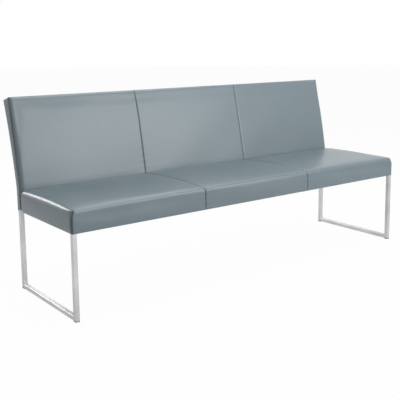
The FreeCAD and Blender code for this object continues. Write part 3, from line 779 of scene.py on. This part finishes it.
def along_band(way, depth_share, gap=0.0):
    """Places on the band, by the way along it from its left foot and the share of its depth, and its turn."""
    mirrored = np.minimum(way, whole_run - way)
    turn = np.clip((mirrored - side_run) / BAND_CORNER, 0.0, math.pi / 2)
    inset = BAND_CORNER * (1 - np.cos(turn)) + np.maximum(mirrored - side_run - corner_run, 0.0)
    rise = np.minimum(mirrored, side_run) + BAND_CORNER * np.sin(turn)
    heights = back_low.z + rise
    front_edge = face_depth(heights) + BACK_WRAP + gap
    rear_edge = rear_depth(np.minimum(heights, rear_high.z)) - HIDE_THICKNESS
    near_top = np.clip((rise / (side_run + BAND_CORNER) - BACK_TOP_SHARE) / (1 - BACK_TOP_SHARE), 0.0, 1.0)
    lift = (top_front - rear_high.z) * (1 - depth_share) * near_top
    x = np.where(way < whole_run / 2, inset - back_half, back_half - inset)
    return np.column_stack((x, front_edge + (rear_edge - front_edge) * depth_share, heights + lift)), turn


def thicken(piece, side):
    """Give a sheet the leatherette's thickness, inwards at -1 and outwards at 1."""
    thick = piece.modifiers.new("leather", "SOLIDIFY")
    thick.thickness = HIDE_THICKNESS
    thick.offset = side
    settle(piece)


SIDE_STEPS, CORNER_STEPS, TOP_STEPS = 80, 8, 344
turns = (0.0, side_run, side_run + corner_run)
turns += tuple(whole_run - way for way in reversed(turns))
steps = (SIDE_STEPS, CORNER_STEPS, TOP_STEPS, CORNER_STEPS, SIDE_STEPS)
stations = np.concatenate([np.linspace(start, end, count, endpoint=False)
                           for start, end, count in zip(turns, turns[1:], steps)] + [[whole_run]])
band_form = bmesh.new()
bmesh.ops.create_grid(band_form, x_segments=sum(steps), y_segments=12, size=0.5)
band = new_piece("back_boxing_band_cover", band_form, hide)
spots = points_of(band)
way = np.interp((spots[:, 0] + 0.5) * sum(steps), np.arange(len(stations)), stations)
depth_share = spots[:, 1] + 0.5
swell = (BAND_SWELL + BAND_RIPPLE * np.sin(way * 41.0)) * np.sin(np.pi * depth_share)
spots, turn = along_band(way, depth_share, BAND_GAP)
spots[:, 0] += np.sign(spots[:, 0]) * swell * np.cos(turn)
spots[:, 2] += swell * np.sin(turn)
move_points(band, spots)
thicken(band, -1.0)
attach(band, "root")
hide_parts("back_boxing_band")


# Rear cover: one leatherette panel over the back of the frame, closed along its edges by hand and
# stapled under the bottom rail.

REAR_CROWN = 0.0025
REAR_ROLL, REAR_ROLL_END, REAR_ROLL_TOP = 0.0016, 0.993, 0.985
rear_form = bmesh.new()
bmesh.ops.create_grid(rear_form, x_segments=260, y_segments=70, size=0.5)
rear = new_piece("back_rear_panel", rear_form, hide)
spots = points_of(rear)
along, up = spots[:, 0] * 2, spots[:, 1] + 0.5
heights = rear_low.z + up * (rear_high.z - rear_low.z)
crown = REAR_CROWN * (1 - along ** 6) * np.clip(up * (1 - up) * 8, 0.0, 1.0)
edge_roll = REAR_ROLL * (np.clip((np.abs(along) - REAR_ROLL_END) / (1 - REAR_ROLL_END), 0.0, 1.0) ** 2
                         + np.clip((up - REAR_ROLL_TOP) / (1 - REAR_ROLL_TOP), 0.0, 1.0) ** 2)
spots[:, 0] = along * rear_high.x
spots[:, 1] = rear_depth(heights) + crown - edge_roll
spots[:, 2] = heights
move_points(rear, spots)
thicken(rear, 1.0)
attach(rear, "root")
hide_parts("back_rear_cover")


# Welts: thin cords covered in the same leatherette, caught in the seams at the front and the rear of
# the boxing band.

WELT = 0.0013


def welt(name, depth_share):
    """A covered cord along the band's front or rear edge."""
    line = bpy.data.curves.new(name, "CURVE")
    line.dimensions = "3D"
    line.bevel_depth = WELT
    line.bevel_resolution = 3
    line.use_fill_caps = True
    places, _ = along_band(stations, depth_share)
    stitch = line.splines.new("POLY")
    stitch.points.add(len(places) - 1)
    for point, place in zip(stitch.points, places):
        point.co = (*place, 1.0)
    drawn = bpy.data.objects.new(f"{name}_line", line)
    bpy.context.scene.collection.objects.link(drawn)
    mesh = bpy.data.meshes.new_from_object(drawn.evaluated_get(bpy.context.evaluated_depsgraph_get()))
    bpy.data.objects.remove(drawn)
    form = bmesh.new()
    form.from_mesh(mesh)
    bmesh.ops.remove_doubles(form, verts=form.verts, dist=1e-5)
    bpy.data.meshes.remove(mesh)
    piece = new_piece(name, form, hide)
    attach(piece, "root")


welt("back_front_welt", 0.0)
welt("back_rear_welt", 1.0)


# Studio: a white floor that runs into a white surround. Soft lights stand in front, above and behind,
# a strip behind the left end draws the bright edge along the seat, and the camera stands a few metres
# off, in front of the left end.

def light(name, size, place, aim, power):
    lamp = bpy.data.lights.new(name, "AREA")
    lamp.shape = "RECTANGLE"
    lamp.size, lamp.size_y = size
    lamp.energy = power
    made = bpy.data.objects.new(name, lamp)
    bpy.context.scene.collection.objects.link(made)
    made.location = place
    made.rotation_euler = (Vector(aim) - Vector(place)).to_track_quat("-Z", "Y").to_euler()


light("front_softbox", (3.0, 2.0), (1.6, -3.8, 1.85), (-0.1, 0.1, 0.6), 100.0)
light("overhead_softbox", (3.0, 2.0), (0.4, -0.5, 3.4), (0.0, 0.0, 0.4), 64.0)
light("edge_strip", (2.2, 1.2), (-2.05, 3.6, 2.2), (-1.0, 0.0, 0.47), 75.0)
light("rear_softbox", (4.4, 2.0), (0.8, 3.4, 3.5), (0.0, 0.3, 0.5), 48.0)

world = bpy.data.worlds.new("studio")
bpy.context.scene.world = world
world.use_nodes = True
FILL_FRONT, FILL_REAR = 0.04, 0.12
sky = Nodes(world.node_tree)
seen = sky.looked()
depth = sky.node("SeparateXYZ", {"Vector": sky.node("TexCoord", {}, "Generated")}, "Y")
fill = FILL_FRONT + (FILL_REAR - FILL_FRONT) * (1 - depth.below(0.1, 1.2))
feed(sky.tree, sky.tree.nodes["Background"].inputs["Strength"], seen + (1 - seen) * fill)
feed(sky.tree, sky.tree.nodes["Background"].inputs["Color"], (1.0, 1.0, 1.0))

FLOOR_RADIUS = 30.0
FLOOR_WHITE, FLOOR_MIRRORED = 0.97, 0.6
floor_form = bmesh.new()
bmesh.ops.create_circle(floor_form, cap_ends=True, segments=96, radius=FLOOR_RADIUS)
paper = Finish("white_floor", base_color=(0.86, 0.86, 0.86), roughness=0.9, specular_ior_level=0.1)
glow = paper.node("Emission", {"Color": (1.0, 1.0, 1.0), "Strength": 1.0})
shown = paper.node("MixShader", {0: paper.looked(FLOOR_MIRRORED) * FLOOR_WHITE,
                                 1: Shade(paper.tree, paper.shader.outputs[0]), 2: glow})
feed(paper.tree, paper.tree.nodes["Material Output"].inputs["Surface"], shown)
new_piece("studio_floor", floor_form, paper)

YAW, PITCH, ROLL = (math.radians(angle) for angle in (36.95, 8.80, -0.62))
LENS, SENSOR, SHIFT = 64.13, 36.0, -0.12
STAND = (-2.2364, -2.8222, 1.1216)
ahead = Vector((math.sin(YAW) * math.cos(PITCH), math.cos(YAW) * math.cos(PITCH), -math.sin(PITCH)))
sideways = Vector((math.cos(YAW), -math.sin(YAW), 0.0))
upright = sideways.cross(ahead)
right = sideways * math.cos(ROLL) + upright * math.sin(ROLL)
top = upright * math.cos(ROLL) - sideways * math.sin(ROLL)
lens = bpy.data.cameras.new("viewer")
lens.lens = LENS
lens.sensor_width = SENSOR
lens.shift_y = SHIFT
viewer = bpy.data.objects.new("viewer", lens)
bpy.context.scene.collection.objects.link(viewer)
viewer.matrix_world = Matrix((right, top, -ahead)).transposed().to_4x4()
viewer.location = STAND
bpy.context.scene.camera = viewer
bpy.context.scene.view_settings.view_transform = "Standard"
